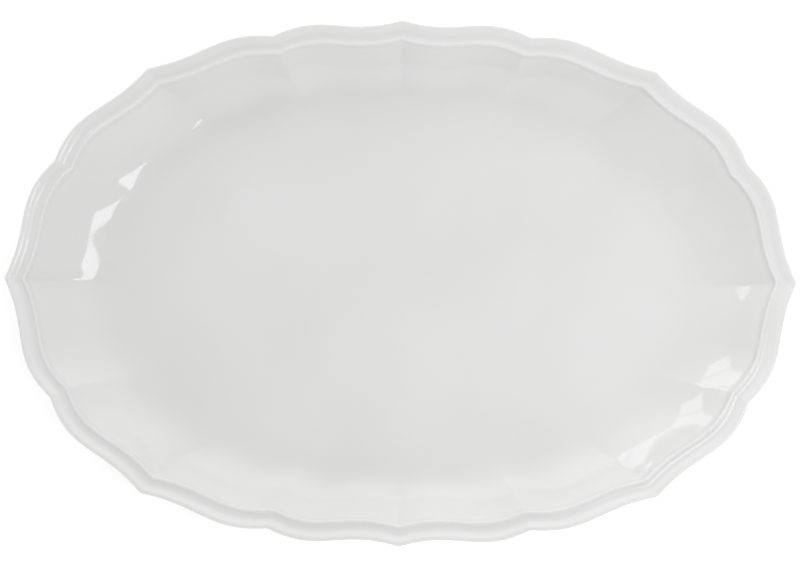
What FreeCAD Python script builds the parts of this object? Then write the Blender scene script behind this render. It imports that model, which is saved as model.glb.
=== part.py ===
import FreeCAD, Part
import math
import os

import Sketcher

# Oval porcelain serving platter with a scalloped (ogee) edge, a rounded lip, a raised bead,
# a hollow wall and a flat well, standing on an oval foot ring.
# Frame: +X along the length, +Y across, +Z up; the origin is on the table under the middle.
# The edge is sixteen S-curves. Outward cusps and inward notches take turns around it, and
# the wall is creased below each of them: grooves below the cusps, ribs below the notches.

Vector = FreeCAD.Vector
DOC = FreeCAD.newDocument("china_serving_platter")

# ---------------------------------------------------------------- driving dimensions (mm)

DIMENSIONS = {
    # whole platter
    "half_length": 178.0,
    "half_width": 118.5,
    "lip_level": 30.0,
    # places of the notches and cusps in one quarter, as shares of the half sizes
    "end_notch_along": 0.878,
    "end_notch_across": 0.450,
    "corner_cusp_along": 0.648,
    "corner_cusp_across": 0.807,
    "side_notch_along": 0.329,
    "side_notch_across": 0.935,
    # S-curves: how far the edge turns in at a cusp and bulges out at a notch (degrees)
    "end_cusp_turn": 3.8,
    "end_notch_turn": 25.3,
    "corner_cusp_turn": 3.8,
    "side_notch_turn": 19.3,
    "side_cusp_turn": 9.3,
    "cusp_reach": 0.48,
    "notch_reach": 0.45,
    # rim, bead and wall
    "lip_round": 1.6,
    "band_width": 7.0,
    "band_dip": 1.6,
    "bead_width": 3.2,
    "bead_rise": 0.8,
    "wall_run_end": 29.0,
    "wall_run_side": 15.5,
    "well_level": 10.0,
    "well_scallop": 0.85,
    # thicknesses
    "body_thickness": 4.3,
    "glaze": 0.3,
    # foot ring
    "foot_half_length": 129.0,
    "foot_half_width": 83.0,
    "foot_width": 5.4,
    "foot_rise": 5.6,
    "foot_round": 1.7,
}

sizes = DOC.addObject("Spreadsheet::Sheet", "sizes")
for row, (name, value) in enumerate(DIMENSIONS.items(), start=1):
    sizes.set(f"A{row}", name)
    sizes.set(f"B{row}", str(value))
    sizes.setAlias(f"B{row}", name)
DOC.recompute()


def size(name):
    """A driving dimension, read back from the sheet."""
    return float(sizes.get(name))


# ------------------------------------------------------------------------- edge outline

SEGMENTS = 16


def quarter_vertices():
    """Cusp, notch, cusp, notch, cusp from the +X end to the +Y side, in half sizes."""
    return [
        Vector(1, 0),
        Vector(size("end_notch_along"), size("end_notch_across")),
        Vector(size("corner_cusp_along"), size("corner_cusp_across")),
        Vector(size("side_notch_along"), size("side_notch_across")),
        Vector(0, 1),
    ]


def turned(direction, degrees):
    """A plane vector turned anticlockwise."""
    return FreeCAD.Rotation(Vector(0, 0, 1), degrees).multVec(direction)


def ogee(cusp, notch, cusp_turn, notch_turn, way):
    """Four poles of one S-curve from cusp to notch, turning inwards at the cusp.

    way is +1 where the curve runs anticlockwise about the middle, otherwise -1."""
    chord = notch - cusp
    cusp_handle = turned(chord, way * cusp_turn) * size("cusp_reach")
    notch_handle = turned(chord, way * notch_turn) * -size("notch_reach")
    return [cusp, cusp + cusp_handle, notch + notch_handle, notch]


def quarter_curves():
    """The four S-curves of the first quarter, in mm, each as four poles."""
    half = Vector(size("half_length"), size("half_width"))
    end, end_notch, corner, side_notch, side = [
        Vector(v.x * half.x, v.y * half.y) for v in quarter_vertices()
    ]
    corner_turn = size("corner_cusp_turn")
    return [
        ogee(end, end_notch, size("end_cusp_turn"), size("end_notch_turn"), 1),
        ogee(corner, end_notch, corner_turn, size("end_notch_turn"), -1)[::-1],
        ogee(corner, side_notch, corner_turn, size("side_notch_turn"), 1),
        ogee(side, side_notch, size("side_cusp_turn"), size("side_notch_turn"), -1)[::-1],
    ]


def mirrored_curves(quarter):
    """All sixteen curves, anticlockwise, from the four of the first quarter."""
    second = [[Vector(-p.x, p.y) for p in reversed(c)] for c in reversed(quarter)]
    upper = quarter + second
    return upper + [[Vector(-p.x, -p.y) for p in c] for c in upper]


def draw_outline():
    """Sketch of the edge: sixteen cubic splines whose poles are bound to the sheet."""
    sketch = DOC.addObject("Sketcher::SketchObject", "edge_outline")
    curves = mirrored_curves(quarter_curves())
    splines = []
    for poles in curves:
        spline = Part.BSplineCurve()
        spline.buildFromPolesMultsKnots(poles, [4, 4], [0, 1], False, 3)
        splines.append(spline)
    sketch.addGeometry(splines, False)
    for k in range(SEGMENTS):
        sketch.addConstraint(Sketcher.Constraint("Coincident", k, 2, (k + 1) % SEGMENTS, 1))
    for k in range(SEGMENTS):
        sketch.exposeInternalGeometry(k)

    def pole(curve, number):
        """Number of the circle that marks a pole: four poles and two knots per curve."""
        return SEGMENTS + 6 * curve + number

    half = {"X": size("half_length"), "Y": size("half_width")}
    alias = {"X": "half_length", "Y": "half_width"}
    quarter = SEGMENTS // 4
    for k in range(quarter + 1):
        for j in range(3):
            if k == quarter and j > 0:
                continue
            point = curves[k][j]
            for letter, value in (("X", point.x), ("Y", point.y)):
                if abs(value) < 1e-6:
                    axis = -1 if letter == "Y" else -2
                    sketch.addConstraint(
                        Sketcher.Constraint("PointOnObject", pole(k, j), 3, axis))
                    continue
                number = sketch.addConstraint(Sketcher.Constraint(
                    f"Distance{letter}", -1, 1, pole(k, j), 3, value))
                name = f"pole_{k}_{j}_{letter}"
                sketch.renameConstraint(number, name)
                share = value / half[letter]
                sketch.setExpression(f"Constraints.{name}", f"sizes.{alias[letter]} * {share:.5f}")
    for k in range(quarter, 2 * quarter):
        for j in range(3):
            if k == quarter and j == 0:
                continue
            twin = pole(2 * quarter - 1 - k, 3 - j)
            sketch.addConstraint(Sketcher.Constraint("Symmetric", twin, 3, pole(k, j), 3, -2))
    for k in range(2 * quarter, SEGMENTS):
        for j in range(3):
            twin = pole(k - 2 * quarter, j)
            sketch.addConstraint(Sketcher.Constraint("Symmetric", twin, 3, pole(k, j), 3, -1, 1))
    DOC.recompute()
    return sketch


outline_sketch = draw_outline()
EDGE_CURVES = [outline_sketch.Geometry[k].getPoles() for k in range(SEGMENTS)]


def oval_curves():
    """Sixteen arcs of the unit circle, as cubic poles, split where the edge is split."""
    bearings = []
    for poles in EDGE_CURVES:
        start = poles[0]
        bearings.append(math.atan2(start.y / size("half_width"), start.x / size("half_length")))
    arcs = []
    for k, start in enumerate(bearings):
        turn = (bearings[(k + 1) % SEGMENTS] - start) % (2 * math.pi)
        reach = 4 / 3 * math.tan(turn / 4)
        first = Vector(math.cos(start), math.sin(start))
        last = Vector(math.cos(start + turn), math.sin(start + turn))
        arcs.append([
            first,
            first + Vector(-first.y, first.x) * reach,
            last + Vector(last.y, -last.x) * reach,
            last,
        ])
    return arcs


OVAL_CURVES = oval_curves()

# ------------------------------------------------------------------- profile of the dish

# A station is one level line of the dish: its half length, half width, level and how much
# of the edge's scallop it keeps (1 at the rim, 0 for a plain oval).


def station(inset, run, level, scallop):
    """Station at an inset from the edge plus a share of the wall's run."""
    along = size("half_length") - inset - run * size("wall_run_end")
    across = size("half_width") - inset - run * size("wall_run_side")
    return (along, across, level, scallop)


def offset(stations, distance):
    """The stations moved off along the profile's outer normal."""
    moved = []
    last = len(stations) - 1
    for k, (along, across, level, scallop) in enumerate(stations):
        before = stations[max(k - 1, 0)]
        after = stations[min(k + 1, last)]
        inward = (before[0] + before[1] - after[0] - after[1]) / 2
        rise = after[2] - before[2]
        length = math.hypot(inward, rise)
        outward = distance * rise / length
        up = distance * inward / length
        moved.append((along + outward, across + outward, level + up, scallop))
    return moved


LIP = size("lip_level")
EDGE_LEVEL = LIP - size("lip_round")
BAND = size("band_width")
BEAD = size("bead_width")
BEAD_TOP = LIP - size("band_dip") + size("bead_rise")
BEAD_FOOT = LIP - size("band_dip") - 0.1
WALL_TOP = BAND + BEAD
WELL = size("well_level")
DEPTH = LIP - WELL
SOFT = size("well_scallop")
FOOT_TOP = size("foot_rise")

# Control levels of the glazed face, from the outermost line of the lip in to the well.
rim_face = [
    station(0, 0, EDGE_LEVEL, 1),
    station(0, 0, LIP - 0.3, 1),
    station(0.9, 0, LIP + 0.2, 1),
    station(2.6, 0, LIP - 0.3, 1),
    station(0.6 * BAND, 0, LIP - size("band_dip"), 1),
    station(BAND - 0.7, 0, BEAD_FOOT, 1),
    station(BAND + 0.05 * BEAD, 0, BEAD_FOOT + 0.2, 1),
    station(BAND + 0.25 * BEAD, 0, BEAD_TOP, 1),
    station(BAND + 0.5 * BEAD, 0, BEAD_TOP + 0.3, 1),
    station(BAND + 0.75 * BEAD, 0, BEAD_TOP - 0.1, 1),
    station(BAND + 0.9 * BEAD, 0, BEAD_FOOT - 1.0, 1),
]
wall_face = [
    station(WALL_TOP, 0.08, LIP - 0.24 * DEPTH, 1),
    station(WALL_TOP, 0.27, LIP - 0.49 * DEPTH, 1),
    station(WALL_TOP, 0.52, LIP - 0.73 * DEPTH, 0.97),
    station(WALL_TOP, 0.78, LIP - 0.89 * DEPTH, 0.92),
    station(WALL_TOP, 1.00, WELL + 0.7, SOFT),
    station(WALL_TOP, 1.24, WELL + 0.1, 0.7 * SOFT),
    station(WALL_TOP, 1.50, WELL, 0.4 * SOFT),
]
glaze_face = rim_face + wall_face

# Control levels of the glazed back, from the same line down to the foot ring.
foot_outer = (size("foot_half_length"), size("foot_half_width"))
THICK = size("body_thickness")
glaze_back = [
    station(0, 0, EDGE_LEVEL, 1),
    station(0, 0, EDGE_LEVEL - 1.4, 1),
    station(1.2, 0, EDGE_LEVEL - 2.4, 1),
    station(3.6, 0, EDGE_LEVEL - 3.3, 1),
    station(0.8 * WALL_TOP, 0, EDGE_LEVEL - 4.4, 1),
] + [
    (along, across, level, 0.8 * scallop)
    for along, across, level, scallop in offset(glaze_face, -THICK)[len(rim_face):-2]
] + [
    (foot_outer[0] + 3.0, foot_outer[1] + 3.0, FOOT_TOP - size("glaze"), 0),
    (foot_outer[0], foot_outer[1], FOOT_TOP - size("glaze"), 0),
]
biscuit_face = offset(glaze_face, -size("glaze"))
biscuit_back = offset(glaze_back, size("glaze"))


def level_ring(one_station):
    """The sixteen pole quartets of a station's level line."""
    along, across, level, scallop = one_station
    ring = []
    for edge, oval in zip(EDGE_CURVES, OVAL_CURVES):
        quartet = []
        for outer, unit in zip(edge, oval):
            x = scallop * outer.x / size("half_length") + (1 - scallop) * unit.x
            y = scallop * outer.y / size("half_width") + (1 - scallop) * unit.y
            quartet.append(Vector(x * along, y * across, level))
        ring.append(quartet)
    return ring


def skin(stations):
    """Sixteen spline faces through the stations, meeting at the creases."""
    degree = min(3, len(stations) - 1)
    spans = len(stations) - degree
    knots = list(range(spans + 1))
    repeats = [degree + 1] + [1] * (spans - 1) + [degree + 1]
    rings = [level_ring(s) for s in stations]
    faces = []
    for k in range(SEGMENTS):
        poles = [[ring[k][j] for ring in rings] for j in range(4)]
        surface = Part.BSplineSurface()
        surface.buildFromPolesMultsKnots(poles, [4, 4], repeats, [0, 1], knots,
                                         False, False, 3, degree)
        faces.append(surface.toShape())
    return faces


def cap(one_station):
    """Flat face that closes a level line."""
    edges = []
    for poles in level_ring(one_station):
        curve = Part.BSplineCurve()
        curve.buildFromPolesMultsKnots(poles, [4, 4], [0, 1], False, 3)
        edges.append(curve.toShape())
    return Part.Face(Part.Wire(edges))


def closed(faces):
    """One solid from faces that share their edges."""
    shell = Part.makeCompound(faces)
    shell.sewShape()
    solid = Part.Solid(shell.Shells[0])
    if solid.Volume < 0:
        solid.reverse()
    return solid


def add_spline_part(label, faces):
    """Sub-part whose creased double curves no sketch-based feature follows."""
    part = DOC.addObject("Part::Feature", label)
    part.Label = label
    part.Shape = closed(faces)
    part.Placement = FreeCAD.Placement()
    return part


# ------------------------------------------------------------------------- the sub-parts

# Biscuit-fired porcelain: floor, wall and rim in one.
porcelain_body = add_spline_part(
    "porcelain_body",
    skin(biscuit_face) + skin(biscuit_back) + [cap(biscuit_face[-1]), cap(biscuit_back[-1])],
)

# Glaze over the whole face: lip, band, bead, wall and well.
face_glaze = add_spline_part(
    "face_glaze",
    skin(glaze_face) + skin(biscuit_face) + skin([glaze_face[0], biscuit_face[0]])
    + [cap(glaze_face[-1]), cap(biscuit_face[-1])],
)

# Glaze over the back, from the lip down to the foot ring.
back_glaze = add_spline_part(
    "back_glaze",
    skin(glaze_back) + skin(biscuit_back) + skin([glaze_back[0], biscuit_back[0]])
    + skin([glaze_back[-1], biscuit_back[-1]]),
)


def plane(body, role):
    """One of a body's own origin planes."""
    return next(f for f in body.Origin.OriginFeatures if f.Role == role)


def add_oval(sketch, shrink):
    """Ellipse around the origin, inside the foot ring's outer line by an amount."""
    half_length = size("foot_half_length")
    half_width = size("foot_half_width")
    ellipse = Part.Ellipse(Vector(half_length, 0), Vector(0, half_width), Vector(0, 0))
    number = sketch.addGeometry(ellipse, False)
    sketch.exposeInternalGeometry(number)
    major, minor = number + 1, number + 2
    sketch.addConstraint(Sketcher.Constraint("Coincident", number, 3, -1, 1))
    sketch.addConstraint(Sketcher.Constraint("PointOnObject", major, 1, -1))
    for line, alias, half in ((major, "foot_half_length", half_length),
                              (minor, "foot_half_width", half_width)):
        constraint = sketch.addConstraint(Sketcher.Constraint("Distance", line, 2 * half))
        sketch.setExpression(f"Constraints[{constraint}]", f"2 * (sizes.{alias} - {shrink})")


# Foot ring: a low oval wall under the edge of the well, with a rounded bearing edge.
foot_ring = DOC.addObject("PartDesign::Body", "foot_ring")
foot_ring.Label = "foot_ring"
foot_sketch = foot_ring.newObject("Sketcher::SketchObject", "foot_ovals")
foot_sketch.AttachmentSupport = [(plane(foot_ring, "XY_Plane"), "")]
foot_sketch.MapMode = "FlatFace"
add_oval(foot_sketch, "0")
add_oval(foot_sketch, "sizes.foot_width")
foot_pad = foot_ring.newObject("PartDesign::Pad", "foot_wall")
foot_pad.Profile = foot_sketch
foot_pad.setExpression("Length", "sizes.foot_rise")
DOC.recompute()
bearing_edges = [
    f"Edge{number}" for number, edge in enumerate(foot_pad.Shape.Edges, start=1)
    if edge.BoundBox.ZMax < 0.01
]
foot_fillet = foot_ring.newObject("PartDesign::Fillet", "bearing_edge")
foot_fillet.Base = (foot_pad, bearing_edges)
foot_fillet.setExpression("Radius", "sizes.foot_round")
foot_ring.Tip = foot_fillet

# Glaze inside the foot ring: a thin oval sheet under the floor.
base_glaze = DOC.addObject("PartDesign::Body", "base_glaze")
base_glaze.Label = "base_glaze"
base_sketch = base_glaze.newObject("Sketcher::SketchObject", "base_oval")
base_sketch.AttachmentSupport = [(plane(base_glaze, "XY_Plane"), "")]
base_sketch.MapMode = "FlatFace"
base_sketch.setExpression("AttachmentOffset.Base.z", "sizes.foot_rise - sizes.glaze")
add_oval(base_sketch, "sizes.foot_width")
base_pad = base_glaze.newObject("PartDesign::Pad", "base_sheet")
base_pad.Profile = base_sketch
base_pad.setExpression("Length", "sizes.glaze")
base_glaze.Tip = base_pad
DOC.recompute()

# -------------------------------------------------------------------- checks and output

SUB_PARTS = [porcelain_body, foot_ring, face_glaze, back_glaze, base_glaze]

for thing in DOC.Objects:
    if "Invalid" in thing.State or "Error" in thing.State:
        raise RuntimeError(f"{thing.Label} did not build: {thing.State}")

os.makedirs("parts", exist_ok=True)
for part in SUB_PARTS:
    shape = part.Shape
    if shape.isNull() or not shape.isValid() or not shape.Solids:
        raise RuntimeError(f"{part.Label} has no sound solid")
    shape.exportStep(f"parts/{part.Label}.step")
    box = shape.BoundBox
    print(f"{part.Label}: {shape.Volume / 1000:.1f} cm3, {len(shape.Faces)} faces, "
          f"x {box.XMin:.2f}..{box.XMax:.2f}, y {box.YMin:.2f}..{box.YMax:.2f}, "
          f"z {box.ZMin:.2f}..{box.ZMax:.2f}")
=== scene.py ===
import math

import bpy
import numpy as np
from mathutils import Matrix, Vector


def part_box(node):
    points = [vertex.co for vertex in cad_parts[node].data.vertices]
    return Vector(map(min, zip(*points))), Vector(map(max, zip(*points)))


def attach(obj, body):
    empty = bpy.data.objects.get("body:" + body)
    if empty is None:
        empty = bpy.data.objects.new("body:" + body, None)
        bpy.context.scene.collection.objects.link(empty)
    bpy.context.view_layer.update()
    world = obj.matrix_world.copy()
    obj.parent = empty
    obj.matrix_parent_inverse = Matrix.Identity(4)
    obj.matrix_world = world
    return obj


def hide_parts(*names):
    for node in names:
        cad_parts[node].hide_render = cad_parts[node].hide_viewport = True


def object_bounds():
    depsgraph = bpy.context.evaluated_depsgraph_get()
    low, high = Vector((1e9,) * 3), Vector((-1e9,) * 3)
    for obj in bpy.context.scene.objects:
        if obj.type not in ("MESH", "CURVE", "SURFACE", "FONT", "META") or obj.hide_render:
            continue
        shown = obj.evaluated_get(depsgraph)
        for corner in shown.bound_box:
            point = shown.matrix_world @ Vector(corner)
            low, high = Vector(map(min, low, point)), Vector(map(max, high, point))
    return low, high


# Glazed porcelain serving platter with a scalloped edge, in metres, +Z up out of the well.
# Each glaze layer, the fired body and the foot ring are rebuilt as fine meshes that follow the
# CAD surfaces, with the creases, the lip and the bead softened the way glaze softens them.

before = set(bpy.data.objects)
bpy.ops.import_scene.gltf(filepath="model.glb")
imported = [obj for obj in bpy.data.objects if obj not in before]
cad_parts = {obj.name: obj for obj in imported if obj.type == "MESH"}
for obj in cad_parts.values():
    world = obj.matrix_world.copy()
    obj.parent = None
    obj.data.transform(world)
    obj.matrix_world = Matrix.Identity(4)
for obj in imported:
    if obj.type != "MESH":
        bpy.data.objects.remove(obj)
CAD_LOW, CAD_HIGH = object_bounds()
MM = 0.001

# ------------------------------------------------------------------------------ sizes

HALF_LENGTH = CAD_HIGH.x
HALF_WIDTH = CAD_HIGH.y
LIP = CAD_HIGH.z
FOOT_LENGTH, FOOT_WIDTH, FOOT_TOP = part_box("foot_ring")[1]
BASE_LOW, BASE_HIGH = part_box("base_glaze")
GLAZE = BASE_HIGH.z - BASE_LOW.z
FOOT_WALL = FOOT_LENGTH - BASE_HIGH.x

# Cusp, notch, cusp, notch, cusp of one quarter of the edge, in half sizes.
QUARTER = [(1.0, 0.0), (0.878, 0.450), (0.648, 0.807), (0.329, 0.935), (0.0, 1.0)]
CUSP_TURN = [3.8, 3.8, 9.3]
NOTCH_TURN = [25.3, 19.3]
CUSP_REACH = 0.48
NOTCH_REACH = 0.45
SEGMENTS = 16

LIP_ROUND = 1.6 * MM
EDGE_LEVEL = LIP - LIP_ROUND
BAND = 7.0 * MM
BAND_DIP = 1.6 * MM
BEAD = 3.2 * MM
BEAD_TOP = LIP - 0.8 * MM
BEAD_FOOT = LIP - 1.7 * MM
WALL_TOP = BAND + BEAD
WALL_RUN_END = 29.0 * MM
WALL_RUN_SIDE = 15.5 * MM
WELL = 10.0 * MM
DEPTH = LIP - WELL
WELL_SCALLOP = 0.85
BODY_THICKNESS = 4.3 * MM

# Foot ring and base glaze.
BEARING_ROUND = 1.7 * MM
SPLAY_LEVEL = 3.6 * MM
FOOT_NECK = 0.6 * MM
FOOT_SPLAY = 0.10 * MM
BEARING_INSET = 0.25 * MM
POOL_ROUND = 1.1 * MM
POOL_SHARE = 0.8
POOL_REACH = 0.9 * MM

# Slow wander of the fired floor and wall, and of the base glaze: wave size, seed, height.
FLOOR_WANDER = (0.11, 5, 0.22 * MM)
BASE_WANDER = (0.09, 11, 0.05 * MM)
BASE_SETTLE = 0.02 * MM
WANDER_WAVES = 7
WANDER_SCALES = (0.6, 1.6)

# Mesh rows and columns, and the fine steps that curves are measured in.
EDGE_SAMPLES = 8192
CURVE_STEPS = 400
PROFILE_STEPS = 4000
COLUMNS_PER_SEGMENT = 32
COLUMN_EASING = 0.85
FACE_ROWS = 120
BACK_ROWS = 80
INNER_ROWS = 36
FLOOR_RINGS = 26
INNER_FLOOR_RINGS = 8
BASE_RINGS = 22
BASE_TOP_RINGS = 5
ROUND_STEPS = 8
TURN_WEIGHT = 1.2

# Spread of the glaze's softening: at the edge, and where this much of the scallop is gone.
CRISP = 0.8 * MM
SOFT = 2.6 * MM
SOFT_FROM = 0.5
SOFT_STEPS = 6

# ------------------------------------------------------------------------ edge outline


def turned(vector, degrees):
    """A plane vector turned anticlockwise."""
    c, s = math.cos(math.radians(degrees)), math.sin(math.radians(degrees))
    return np.array([c * vector[0] - s * vector[1], s * vector[0] + c * vector[1]])


def ogee(cusp, notch, cusp_turn, notch_turn, way):
    """Four poles of the S-curve from a cusp to a notch."""
    chord = notch - cusp
    near = turned(chord, way * cusp_turn) * CUSP_REACH
    far = turned(chord, way * notch_turn) * -NOTCH_REACH
    return np.array([cusp, cusp + near, notch + far, notch])


def edge_poles():
    """The sixteen S-curves, anticlockwise from the +X end, in metres."""
    half = np.array([HALF_LENGTH, HALF_WIDTH])
    end, end_notch, corner, side_notch, side = [np.array(v) * half for v in QUARTER]
    first = [
        ogee(end, end_notch, CUSP_TURN[0], NOTCH_TURN[0], 1),
        ogee(corner, end_notch, CUSP_TURN[1], NOTCH_TURN[0], -1)[::-1],
        ogee(corner, side_notch, CUSP_TURN[1], NOTCH_TURN[1], 1),
        ogee(side, side_notch, CUSP_TURN[2], NOTCH_TURN[1], -1)[::-1],
    ]
    second = [curve[::-1] * [-1, 1] for curve in reversed(first)]
    upper = first + second
    return upper + [-curve for curve in upper]


def oval_poles(edge):
    """Sixteen arcs of the unit circle, split where the edge is split."""
    bearings = [math.atan2(c[0][1] / HALF_WIDTH, c[0][0] / HALF_LENGTH) for c in edge]
    arcs = []
    for k, start in enumerate(bearings):
        turn = (bearings[(k + 1) % SEGMENTS] - start) % (2 * math.pi)
        reach = 4 / 3 * math.tan(turn / 4)
        a = np.array([math.cos(start), math.sin(start)])
        b = np.array([math.cos(start + turn), math.sin(start + turn)])
        arcs.append(np.array([a, a + [-a[1] * reach, a[0] * reach],
                              b + [b[1] * reach, -b[0] * reach], b]))
    return arcs


def cubic(poles, t):
    """Points of a cubic curve."""
    t = t[:, None]
    return ((1 - t) ** 3 * poles[0] + 3 * (1 - t) ** 2 * t * poles[1]
            + 3 * (1 - t) * t ** 2 * poles[2] + t ** 3 * poles[3])


class Edge:
    """The scalloped edge and the oval under it, sampled evenly along the edge."""

    def __init__(self):
        edge = edge_poles()
        oval = oval_poles(edge)
        t = np.linspace(0, 1, CURVE_STEPS, endpoint=False)
        line = np.concatenate([cubic(c, t) for c in edge])
        circle = np.concatenate([cubic(c, t) for c in oval])
        steps = np.linalg.norm(np.diff(np.vstack([line, line[:1]]), axis=0), axis=1)
        at = np.concatenate([[0], np.cumsum(steps)])
        self.length = at[-1]
        self.vertices = at[:-1:CURVE_STEPS]
        even = np.linspace(0, self.length, EDGE_SAMPLES, endpoint=False)
        unit = line / [HALF_LENGTH, HALF_WIDTH]

        def resampled(values):
            closed = np.vstack([values, values[:1]])
            return np.stack([np.interp(even, at, closed[:, i]) for i in (0, 1)], axis=1)

        self.circle = resampled(circle)
        self.wave = resampled(unit) - self.circle
        self.even = even
        soft = self.softened(CRISP) + self.circle
        self.stretch = 1 / soft.max(axis=0)

    def softened(self, spread):
        """The scallop's departure from the oval, with its points and creases rounded."""
        cycles = np.fft.fftfreq(len(self.even), d=self.length / len(self.even))
        gain = np.exp(-2 * (math.pi * cycles * spread) ** 2)
        return np.real(np.fft.ifft(np.fft.fft(self.wave, axis=0) * gain[:, None], axis=0))

    def columns(self):
        """Places along the edge where the meshes have columns, closer near the creases."""
        t = np.arange(COLUMNS_PER_SEGMENT) / COLUMNS_PER_SEGMENT
        eased = t - COLUMN_EASING * np.sin(2 * math.pi * t) / (2 * math.pi)
        ends = np.append(self.vertices, self.length)
        return np.concatenate([a + (b - a) * eased for a, b in zip(ends, ends[1:])])

    def pick(self, values, places):
        """Values at any places along the edge."""
        closed = np.vstack([values, values[:1]])
        grid = np.append(self.even, self.length)
        return np.stack([np.interp(places, grid, closed[:, i]) for i in (0, 1)], axis=1)


EDGE = Edge()
PLACES = EDGE.columns()
SPREADS = np.linspace(CRISP, SOFT, SOFT_STEPS)
WAVES = np.array([EDGE.pick(EDGE.softened(s), PLACES) for s in SPREADS])
CIRCLE = EDGE.pick(EDGE.circle, PLACES)

# ------------------------------------------------------------------ profile of the dish

# A station is one level line: half length, half width, level, share of the scallop kept.


def station(inset, run, level, scallop):
    """Station at an inset from the edge plus a share of the wall's run."""
    return (HALF_LENGTH - inset - run * WALL_RUN_END,
            HALF_WIDTH - inset - run * WALL_RUN_SIDE, level, scallop)


def offset(stations, distance):
    """The stations moved off along the profile's outer normal."""
    moved = []
    for k, (along, across, level, scallop) in enumerate(stations):
        before = stations[max(k - 1, 0)]
        after = stations[min(k + 1, len(stations) - 1)]
        inward = (before[0] + before[1] - after[0] - after[1]) / 2
        rise = after[2] - before[2]
        length = math.hypot(inward, rise)
        out = distance * rise / length
        moved.append((along + out, across + out, level + distance * inward / length, scallop))
    return moved


rim_face = [
    station(0, 0, EDGE_LEVEL, 1),
    station(0, 0, LIP - 0.3 * MM, 1),
    station(0.9 * MM, 0, LIP + 0.2 * MM, 1),
    station(2.6 * MM, 0, LIP - 0.3 * MM, 1),
    station(0.6 * BAND, 0, LIP - BAND_DIP, 1),
    station(BAND - 0.7 * MM, 0, BEAD_FOOT, 1),
    station(BAND + 0.05 * BEAD, 0, BEAD_FOOT + 0.2 * MM, 1),
    station(BAND + 0.25 * BEAD, 0, BEAD_TOP, 1),
    station(BAND + 0.5 * BEAD, 0, BEAD_TOP + 0.3 * MM, 1),
    station(BAND + 0.75 * BEAD, 0, BEAD_TOP - 0.1 * MM, 1),
    station(BAND + 0.9 * BEAD, 0, BEAD_FOOT - 1.0 * MM, 1),
]
wall_face = [
    station(WALL_TOP, 0.08, LIP - 0.24 * DEPTH, 1),
    station(WALL_TOP, 0.27, LIP - 0.49 * DEPTH, 1),
    station(WALL_TOP, 0.52, LIP - 0.73 * DEPTH, 0.97),
    station(WALL_TOP, 0.78, LIP - 0.89 * DEPTH, 0.92),
    station(WALL_TOP, 1.00, WELL + 0.7 * MM, WELL_SCALLOP),
    station(WALL_TOP, 1.24, WELL + 0.1 * MM, 0.7 * WELL_SCALLOP),
    station(WALL_TOP, 1.50, WELL, 0.4 * WELL_SCALLOP),
]
glaze_face = rim_face + wall_face
glaze_back = [
    station(0, 0, EDGE_LEVEL, 1),
    station(0, 0, EDGE_LEVEL - 1.4 * MM, 1),
    station(1.2 * MM, 0, EDGE_LEVEL - 2.4 * MM, 1),
    station(3.6 * MM, 0, EDGE_LEVEL - 3.3 * MM, 1),
    station(0.8 * WALL_TOP, 0, EDGE_LEVEL - 4.4 * MM, 1),
] + [
    (along, across, level, 0.8 * scallop)
    for along, across, level, scallop in offset(glaze_face, -BODY_THICKNESS)[len(rim_face):-2]
] + [
    (FOOT_LENGTH + 3 * MM, FOOT_WIDTH + 3 * MM, FOOT_TOP - GLAZE, 0),
    (FOOT_LENGTH, FOOT_WIDTH, FOOT_TOP - GLAZE, 0),
]
biscuit_face = offset(glaze_face, -GLAZE)
biscuit_back = offset(glaze_back, GLAZE)


def basis(count, places):
    """Weights of a clamped cubic spline's control points at places from 0 to 1."""
    spans = count - 3
    knots = np.concatenate([[0] * 3, np.arange(spans + 1), [spans] * 3]) / spans
    x = np.clip(places, 0, 1 - 1e-9)
    weights = [((knots[i] <= x) & (x < knots[i + 1])).astype(float) for i in range(count + 3)]
    for degree in (1, 2, 3):
        raised = []
        for i in range(count + 3 - degree):
            total = np.zeros_like(x)
            left = knots[i + degree] - knots[i]
            right = knots[i + degree + 1] - knots[i + 1]
            if left > 0:
                total += (x - knots[i]) / left * weights[i]
            if right > 0:
                total += (knots[i + degree + 1] - x) / right * weights[i + 1]
            raised.append(total)
        weights = raised
    return np.array(weights).T


def profile(stations, rows):
    """Rows down a profile, closer where it turns: scallop and oval sizes, level, softness."""
    control = np.array([
        (s * a, s * b, (1 - s) * a, (1 - s) * b, level, 1 - s)
        for a, b, level, s in stations
    ])
    fine = np.linspace(0, 1, PROFILE_STEPS)
    line = basis(len(control), fine) @ control
    across = line[:, 1] + line[:, 3]
    steps = np.hypot(np.diff(across), np.diff(line[:, 4]))
    heading = np.unwrap(np.arctan2(np.diff(line[:, 4]), np.diff(across)))
    turning = np.abs(np.append(np.diff(heading), 0))
    share = steps / steps.sum() + TURN_WEIGHT * turning / turning.sum()
    measure = np.concatenate([[0], np.cumsum(share)])
    places = np.interp(np.linspace(0, measure[-1], rows), measure, fine)
    return basis(len(control), places) @ control


def level_rings(stations, rows):
    """Closed rings of points, one for each row of a profile."""
    rings = []
    for scallop_x, scallop_y, oval_x, oval_y, level, plain in profile(stations, rows):
        at = min(1.0, plain / SOFT_FROM) * (SOFT_STEPS - 1)
        low = min(int(at), SOFT_STEPS - 2)
        wave = WAVES[low] * (low + 1 - at) + WAVES[low + 1] * (at - low)
        shape = (wave + CIRCLE) * EDGE.stretch
        x = shape[:, 0] * scallop_x + CIRCLE[:, 0] * oval_x
        y = shape[:, 1] * scallop_y + CIRCLE[:, 1] * oval_y
        rings.append(np.stack([x, y, np.full(len(x), level)], axis=1))
    return rings


def floor_rings(outer, count):
    """Rings that shrink from a level ring to the middle, which they don't reach."""
    shares = 1 - np.arange(1, count + 1) / (count + 1)
    return [outer * [share, share, 1] for share in shares]


# ---------------------------------------------------------------------------- meshes


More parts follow.
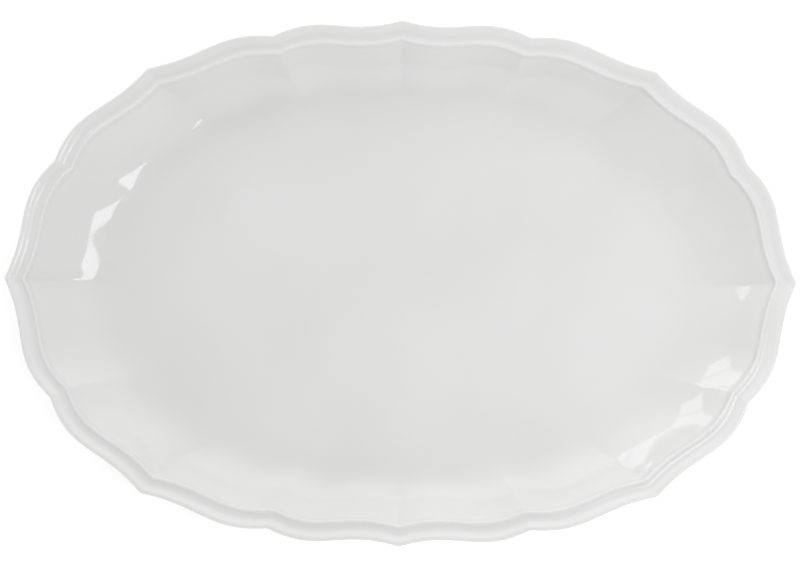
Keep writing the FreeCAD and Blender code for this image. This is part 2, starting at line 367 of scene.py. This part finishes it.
def solid_of_rings(name, rings, first_pole=None, last_pole=None):
    """Closed mesh through rings of equal length: capped by two poles, or looped."""
    columns = len(rings[0])
    points = np.vstack(rings)
    faces = []
    loop = first_pole is None
    for r in range(len(rings) if loop else len(rings) - 1):
        a = r * columns
        b = ((r + 1) % len(rings)) * columns
        for c in range(columns):
            d = (c + 1) % columns
            faces.append((a + c, a + d, b + d, b + c))
    if not loop:
        points = np.vstack([points, [first_pole], [last_pole]])
        top, bottom = len(points) - 2, len(points) - 1
        last = (len(rings) - 1) * columns
        for c in range(columns):
            d = (c + 1) % columns
            faces.append((top, d, c))
            faces.append((bottom, last + c, last + d))
    mesh = bpy.data.meshes.new(name)
    mesh.from_pydata(points.tolist(), [], faces)
    mesh.update()
    piece = bpy.data.objects.new(name, mesh)
    bpy.context.collection.objects.link(piece)
    mesh.polygons.foreach_set("use_smooth", [True] * len(mesh.polygons))
    return piece


def outward(piece):
    """Turns a closed piece's faces outwards if its volume comes out negative."""
    mesh = piece.data
    mesh.calc_loop_triangles()
    co = np.array([v.co for v in mesh.vertices])
    tri = np.array([t.vertices for t in mesh.loop_triangles])
    volume = np.einsum("ij,ij->i", co[tri[:, 0]], np.cross(co[tri[:, 1]], co[tri[:, 2]])).sum()
    if volume < 0:
        mesh.flip_normals()
    return piece


def unevenness(points, size, seed, amount):
    """Slow wander of a hand-finished surface: a few seeded waves added up."""
    random = np.random.default_rng(seed)
    total = np.zeros(len(points))
    for _ in range(WANDER_WAVES):
        direction = random.normal(size=2)
        direction /= np.linalg.norm(direction)
        cycles = random.uniform(*WANDER_SCALES) / size
        phase = random.uniform(0, 2 * math.pi)
        total += np.sin(2 * math.pi * cycles * (points[:, :2] @ direction) + phase)
    return total / WANDER_WAVES * amount


def wandered(rings):
    """Rings with the slight wander of a fired floor and wall, faded out at the lip."""
    moved = []
    for ring in rings:
        level = ring[0, 2]
        share = np.clip((LIP - level) / DEPTH, 0, 1)
        ring = ring.copy()
        ring[:, 2] += share * unevenness(ring, *FLOOR_WANDER)
        moved.append(ring)
    return moved


def face_surface(stations, rows, floor_count):
    """Rings of a face from the outermost line in to near the middle, and the middle."""
    rings = level_rings(stations, rows)
    rings += floor_rings(rings[-1], floor_count)
    rings = wandered(rings)
    middle = [0, 0, rings[-1][:, 2].mean()]
    return rings, middle


outer_face, outer_middle = face_surface(glaze_face, FACE_ROWS, FLOOR_RINGS)
inner_face, inner_middle = face_surface(biscuit_face, INNER_ROWS, INNER_FLOOR_RINGS)
outer_back = level_rings(glaze_back, BACK_ROWS)
inner_back = level_rings(biscuit_back, INNER_ROWS)

face_coat = outward(solid_of_rings(
    "glaze_over_face", outer_face[::-1] + inner_face, outer_middle, inner_middle))
back_coat = outward(solid_of_rings("glaze_over_back", outer_back + inner_back[::-1]))

base_ring = inner_back[-1]
fired_body = outward(solid_of_rings(
    "fired_porcelain_body",
    inner_face[::-1] + inner_back[1:] + floor_rings(base_ring, INNER_FLOOR_RINGS),
    inner_middle, [0, 0, base_ring[0, 2]]))


def oval_ring(outer_inset, level):
    """Plain oval ring inside the foot ring's outer line."""
    x = CIRCLE[:, 0] * (FOOT_LENGTH - outer_inset)
    y = CIRCLE[:, 1] * (FOOT_WIDTH - outer_inset)
    return np.stack([x, y, np.full(len(x), level)], axis=1)


def foot_section():
    """Inset and level around the foot ring's section: splayed sides, rounded bearing edge."""
    quarter = [math.pi / 2 * k / ROUND_STEPS for k in range(ROUND_STEPS + 1)]
    side = [(0.0, FOOT_TOP), (0.0, FOOT_TOP - FOOT_NECK), (FOOT_SPLAY, SPLAY_LEVEL)]
    for angle in quarter:
        inset = BEARING_INSET + BEARING_ROUND * (1 - math.cos(angle))
        side.append((inset, BEARING_ROUND * (1 - math.sin(angle))))
    return side + [(FOOT_WALL - inset, level) for inset, level in reversed(side)]


foot = outward(solid_of_rings("oval_foot_ring", [oval_ring(i, z) for i, z in foot_section()]))


def base_sheet():
    """Glaze inside the foot ring: a thin sheet that thickens into the corner of the ring."""
    section = [(FOOT_WALL, FOOT_TOP), (FOOT_WALL, FOOT_TOP - GLAZE - POOL_REACH)]
    for k in range(1, ROUND_STEPS + 1):
        angle = math.pi / 2 * k / ROUND_STEPS
        drop = POOL_SHARE * POOL_ROUND * (1 - math.sin(angle))
        section.append((FOOT_WALL + POOL_ROUND * (1 - math.cos(angle)), FOOT_TOP - GLAZE - drop))
    rings = [oval_ring(inset, level) for inset, level in section]
    under = [r.copy() for r in floor_rings(rings[-1], BASE_RINGS)]
    for ring in under:
        ring[:, 2] += unevenness(ring, *BASE_WANDER) - BASE_SETTLE
    top = floor_rings(rings[0], BASE_TOP_RINGS)
    first = [0, 0, FOOT_TOP]
    last = [0, 0, under[-1][:, 2].mean()]
    return outward(solid_of_rings("glaze_under_floor", top[::-1] + rings + under, first, last))


base_coat = base_sheet()

# ------------------------------------------------------------------------- materials

# Colours, each pair from the darker patches to the paler ones.
GLAZE_COLOURS = ((0.735, 0.735, 0.730), (0.775, 0.775, 0.772))
BISCUIT_COLOURS = ((0.60, 0.585, 0.555), (0.71, 0.70, 0.675))
FLOOR_COLOURS = ((0.93, 0.93, 0.93), (0.95, 0.95, 0.95))
SPECK = (0.80, 0.78, 0.75)
SPECK_REACH = 0.012
UNTINTED = (1.0, 1.0, 1.0)

# Patterns, in waves or cells per metre.
CLOUDS = 14.0
SPECKS = 42.0
SHINE_PATCHES = 30.0
WAVINESS = 75.0
ORANGE_PEEL = 300.0
BISCUIT_STAIN = 90.0
BISCUIT_GRAIN = 2600.0
GLAZE_LINE_WAVER = 160.0
FLOOR_CLOUDS = 3.0

# Relief, roughness and gloss.
WAVINESS_HEIGHT = 0.024 * MM
PEEL_HEIGHT = 0.0022 * MM
GRAIN_HEIGHT = 0.015 * MM
GLAZE_ROUGHNESS = (0.045, 0.085)
GLAZE_IOR = 1.52
BISCUIT_ROUGHNESS = 0.62
FLOOR_ROUGHNESS = 0.8
FLOOR_GLOSS = 0.1
FLOOR_GLOW = 0.27

# The foot ring's glaze begins between these levels, raised unevenly by up to the shift.
GLAZE_LINE = (0.85 * MM, 1.05 * MM)
GLAZE_LINE_SHIFT = 0.9 * MM

# Places of the two colours and of the result on a colour mix node.
MIX_FIRST, MIX_SECOND, MIX_RESULT = 6, 7, 2


class Nodes:
    """Short way to add and link shader nodes."""

    def __init__(self, name):
        self.material = bpy.data.materials.new(name)
        self.material.use_nodes = True
        self.tree = self.material.node_tree
        self.tree.nodes.clear()

    def add(self, kind, **settings):
        node = self.tree.nodes.new(kind)
        for key, value in settings.items():
            if hasattr(node, key):
                setattr(node, key, value)
            else:
                node.inputs[key].default_value = value
        return node

    def link(self, source, output, target, field):
        self.tree.links.new(source.outputs[output], target.inputs[field])

    def noise(self, coordinates, scale, detail=2.0, roughness=0.5):
        node = self.add("ShaderNodeTexNoise")
        node.inputs["Scale"].default_value = scale
        node.inputs["Detail"].default_value = detail
        node.inputs["Roughness"].default_value = roughness
        self.link(coordinates, "Object", node, "Vector")
        return node

    def ramp(self, source, output, stops):
        node = self.add("ShaderNodeValToRGB")
        elements = node.color_ramp.elements
        while len(elements) < len(stops):
            elements.new(0.5)
        for element, (place, colour) in zip(elements, stops):
            element.position = place
            element.color = (*colour, 1)
        self.link(source, output, node, "Fac")
        return node


def glaze_nodes(nodes, coordinates):
    """Clear gloss glaze on white porcelain: faint clouding, specks and orange peel."""
    cloud = nodes.noise(coordinates, CLOUDS, 3.0)
    tint = nodes.ramp(cloud, "Fac", [(0.30, GLAZE_COLOURS[0]), (0.70, GLAZE_COLOURS[1])])
    specks = nodes.add("ShaderNodeTexVoronoi")
    specks.inputs["Scale"].default_value = SPECKS
    nodes.link(coordinates, "Object", specks, "Vector")
    dots = nodes.ramp(specks, "Distance", [(0.0, SPECK), (SPECK_REACH, UNTINTED)])
    colour = nodes.add("ShaderNodeMix", data_type="RGBA", blend_type="MULTIPLY")
    colour.inputs[0].default_value = 1.0
    nodes.tree.links.new(tint.outputs["Color"], colour.inputs[MIX_FIRST])
    nodes.tree.links.new(dots.outputs["Color"], colour.inputs[MIX_SECOND])
    peel = nodes.noise(coordinates, ORANGE_PEEL, 1.5)
    slow = nodes.noise(coordinates, WAVINESS, 1.0)
    bump_fine = nodes.add("ShaderNodeBump", Strength=1.0, Distance=PEEL_HEIGHT)
    bump_slow = nodes.add("ShaderNodeBump", Strength=1.0, Distance=WAVINESS_HEIGHT)
    nodes.link(peel, "Fac", bump_fine, "Height")
    nodes.link(slow, "Fac", bump_slow, "Height")
    nodes.link(bump_slow, "Normal", bump_fine, "Normal")
    shine = nodes.noise(coordinates, SHINE_PATCHES, 3.0)
    spread = nodes.add("ShaderNodeMapRange")
    spread.inputs["To Min"].default_value = GLAZE_ROUGHNESS[0]
    spread.inputs["To Max"].default_value = GLAZE_ROUGHNESS[1]
    nodes.link(shine, "Fac", spread, "Value")
    shader = nodes.add("ShaderNodeBsdfPrincipled")
    shader.inputs["IOR"].default_value = GLAZE_IOR
    nodes.tree.links.new(colour.outputs[MIX_RESULT], shader.inputs["Base Color"])
    nodes.link(spread, "Result", shader, "Roughness")
    nodes.link(bump_fine, "Normal", shader, "Normal")
    return shader


def biscuit_nodes(nodes, coordinates):
    """Bare fired porcelain: matte, very slightly warm and grainy."""
    grain = nodes.noise(coordinates, BISCUIT_GRAIN, 3.0, 0.6)
    stain = nodes.noise(coordinates, BISCUIT_STAIN, 4.0, 0.6)
    tint = nodes.ramp(stain, "Fac", [(0.25, BISCUIT_COLOURS[0]), (0.75, BISCUIT_COLOURS[1])])
    bump = nodes.add("ShaderNodeBump", Strength=1.0, Distance=GRAIN_HEIGHT)
    nodes.link(grain, "Fac", bump, "Height")
    shader = nodes.add("ShaderNodeBsdfPrincipled")
    shader.inputs["Roughness"].default_value = BISCUIT_ROUGHNESS
    nodes.link(tint, "Color", shader, "Base Color")
    nodes.link(bump, "Normal", shader, "Normal")
    return shader


def glaze_material():
    nodes = Nodes("white_glaze")
    coordinates = nodes.add("ShaderNodeTexCoord")
    out = nodes.add("ShaderNodeOutputMaterial")
    nodes.link(glaze_nodes(nodes, coordinates), "BSDF", out, "Surface")
    return nodes.material


def biscuit_material():
    nodes = Nodes("biscuit_porcelain")
    coordinates = nodes.add("ShaderNodeTexCoord")
    out = nodes.add("ShaderNodeOutputMaterial")
    nodes.link(biscuit_nodes(nodes, coordinates), "BSDF", out, "Surface")
    return nodes.material


def foot_material():
    """Glazed sides down to an uneven line, and a bare bearing edge below it."""
    nodes = Nodes("foot_ring_porcelain")
    coordinates = nodes.add("ShaderNodeTexCoord")
    place = nodes.add("ShaderNodeSeparateXYZ")
    nodes.link(coordinates, "Object", place, "Vector")
    waver = nodes.noise(coordinates, GLAZE_LINE_WAVER, 3.0)
    shift = nodes.add("ShaderNodeMath", operation="MULTIPLY_ADD")
    nodes.link(waver, "Fac", shift, 0)
    shift.inputs[1].default_value = -GLAZE_LINE_SHIFT
    nodes.link(place, "Z", shift, 2)
    line = nodes.add("ShaderNodeMapRange")
    line.inputs["From Min"].default_value = GLAZE_LINE[0]
    line.inputs["From Max"].default_value = GLAZE_LINE[1]
    nodes.link(shift, "Value", line, "Value")
    mix = nodes.add("ShaderNodeMixShader")
    out = nodes.add("ShaderNodeOutputMaterial")
    nodes.link(line, "Result", mix, "Fac")
    nodes.tree.links.new(biscuit_nodes(nodes, coordinates).outputs["BSDF"], mix.inputs[1])
    nodes.tree.links.new(glaze_nodes(nodes, coordinates).outputs["BSDF"], mix.inputs[2])
    nodes.link(mix, "Shader", out, "Surface")
    return nodes.material


white_glaze = glaze_material()
biscuit = biscuit_material()

for piece, nodes_replaced, slot, material in (
    (face_coat, ["face_glaze"], "white_glaze", white_glaze),
    (back_coat, ["back_glaze"], "white_glaze", white_glaze),
    (base_coat, ["base_glaze"], "white_glaze", white_glaze),
    (fired_body, ["porcelain_body"], "biscuit", biscuit),
    (foot, ["foot_ring"], "biscuit", foot_material()),
):
    piece.data.materials.append(material)
    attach(piece, "root")
    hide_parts(*nodes_replaced)

# -------------------------------------------------------------- floor, light and camera

FLOOR_HALF = 6.0
SENSOR_WIDTH = 36.0
LENS = 72.0
CLIP = (0.1, 50)
CAMERA_DISTANCE = 0.72
CAMERA_TILT = 3.5
CAMERA_ROLL = 0.38
CAMERA_AIM = (-0.2 * MM, -1.0 * MM, EDGE_LEVEL)

# Direction, narrowness and strength of each lobe of room light.
ROOM_LIGHT = [
    ((0, 1, 0), 1.0, 1.28),
    ((0, -1, 0), 1.0, 1.16),
    ((1, 0, 0), 1.0, 0.17),
    ((-1, 0, 0), 1.0, 0.44),
    ((0.6, 0.1, 0.8), 6.0, 0.40),
]

# The two panes of the window are aimed at one place and stand the same way.
WINDOW_AIM = (0, 0, 0.02)
WINDOW_SIZE = (0.80, 0.72)
WINDOW_TALL = (0.34, 0.55, -0.76)


def floor_material():
    """Pale seamless studio floor, lit a little from within like a light table."""
    nodes = Nodes("pale_floor")
    coordinates = nodes.add("ShaderNodeTexCoord")
    cloud = nodes.noise(coordinates, FLOOR_CLOUDS, 2.0)
    tint = nodes.ramp(cloud, "Fac", [(0.3, FLOOR_COLOURS[0]), (0.7, FLOOR_COLOURS[1])])
    shader = nodes.add("ShaderNodeBsdfPrincipled")
    shader.inputs["Roughness"].default_value = FLOOR_ROUGHNESS
    shader.inputs["Specular IOR Level"].default_value = FLOOR_GLOSS
    shader.inputs["Emission Strength"].default_value = FLOOR_GLOW
    nodes.link(tint, "Color", shader, "Base Color")
    nodes.link(tint, "Color", shader, "Emission Color")
    out = nodes.add("ShaderNodeOutputMaterial")
    nodes.link(shader, "BSDF", out, "Surface")
    return nodes.material


def add_floor():
    mesh = bpy.data.meshes.new("floor")
    corners = [(-1, -1), (1, -1), (1, 1), (-1, 1)]
    mesh.from_pydata([(x * FLOOR_HALF, y * FLOOR_HALF, 0) for x, y in corners],
                     [], [(0, 1, 2, 3)])
    floor = bpy.data.objects.new("floor", mesh)
    bpy.context.collection.objects.link(floor)
    floor.data.materials.append(floor_material())


def add_area(name, centre, target, size, radiance, tall=(0, 1, 0), mirrored=True):
    """Soft rectangular light aimed at a target, with one side along the tall direction."""
    data = bpy.data.lights.new(name, "AREA")
    data.shape = "RECTANGLE"
    data.size, data.size_y = size
    data.energy = radiance * math.pi * size[0] * size[1]
    light = bpy.data.objects.new(name, data)
    back = (Vector(centre) - Vector(target)).normalized()
    up = Vector(tall)
    up = (up - back * up.dot(back)).normalized()
    light.rotation_mode = "QUATERNION"
    light.rotation_quaternion = Matrix((up.cross(back), up, back)).transposed().to_quaternion()
    light.location = centre
    light.visible_glossy = mirrored
    bpy.context.collection.objects.link(light)


def add_world(lobes):
    """Room light: broad soft lobes of brightness, each around a direction."""
    world = bpy.data.worlds.new("studio")
    world.use_nodes = True
    tree = world.node_tree
    background = tree.nodes["Background"]
    background.inputs["Color"].default_value = (1, 1, 1, 1)
    coordinates = tree.nodes.new("ShaderNodeTexCoord")
    total = None
    for direction, power, strength in lobes:
        facing = tree.nodes.new("ShaderNodeVectorMath")
        facing.operation = "DOT_PRODUCT"
        facing.inputs[1].default_value = Vector(direction).normalized()
        tree.links.new(coordinates.outputs["Generated"], facing.inputs[0])
        last = facing.outputs["Value"]
        for operation, value in (("MAXIMUM", 0.0), ("POWER", power), ("MULTIPLY", strength)):
            step = tree.nodes.new("ShaderNodeMath")
            step.operation = operation
            step.inputs[1].default_value = value
            tree.links.new(last, step.inputs[0])
            last = step.outputs["Value"]
        if total is not None:
            added = tree.nodes.new("ShaderNodeMath")
            added.operation = "ADD"
            tree.links.new(total, added.inputs[0])
            tree.links.new(last, added.inputs[1])
            last = added.outputs["Value"]
        total = last
    tree.links.new(total, background.inputs["Strength"])
    bpy.context.scene.world = world


def add_camera():
    """Lens almost straight above the well, leaning a little from the near side."""
    data = bpy.data.cameras.new("camera")
    data.sensor_width = SENSOR_WIDTH
    data.lens = LENS
    data.clip_start, data.clip_end = CLIP
    camera = bpy.data.objects.new("camera", data)
    tilt, roll = math.radians(CAMERA_TILT), math.radians(CAMERA_ROLL)
    back = Vector((0, -math.sin(tilt), math.cos(tilt)))
    right = Vector((1, 0, 0))
    up = back.cross(right)
    rolled_right = right * math.cos(roll) + up * math.sin(roll)
    rolled_up = up * math.cos(roll) - right * math.sin(roll)
    turn = Matrix((rolled_right, rolled_up, back)).transposed().to_4x4()
    eye = Vector(CAMERA_AIM) + back * CAMERA_DISTANCE
    camera.matrix_world = Matrix.Translation(eye) @ turn
    bpy.context.collection.objects.link(camera)
    bpy.context.scene.camera = camera


add_floor()
add_world(ROOM_LIGHT)
add_area("key_light", (0.9, -0.3, 2.0), (0.9, -0.3, 0), (1.0, 0.4), 4.1)
add_area("window_upper", (-1.67, 1.45, 1.14), WINDOW_AIM, WINDOW_SIZE, 2.1, WINDOW_TALL)
add_area("window_lower", (-1.40, 1.88, 0.55), WINDOW_AIM, WINDOW_SIZE, 1.8, WINDOW_TALL)
add_area("fill_light", (0.30, 0.05, 0.60), (0.12, 0, 0), (0.4, 0.5), 1.5, mirrored=False)
add_camera()
bpy.context.scene.view_settings.view_transform = "Standard"
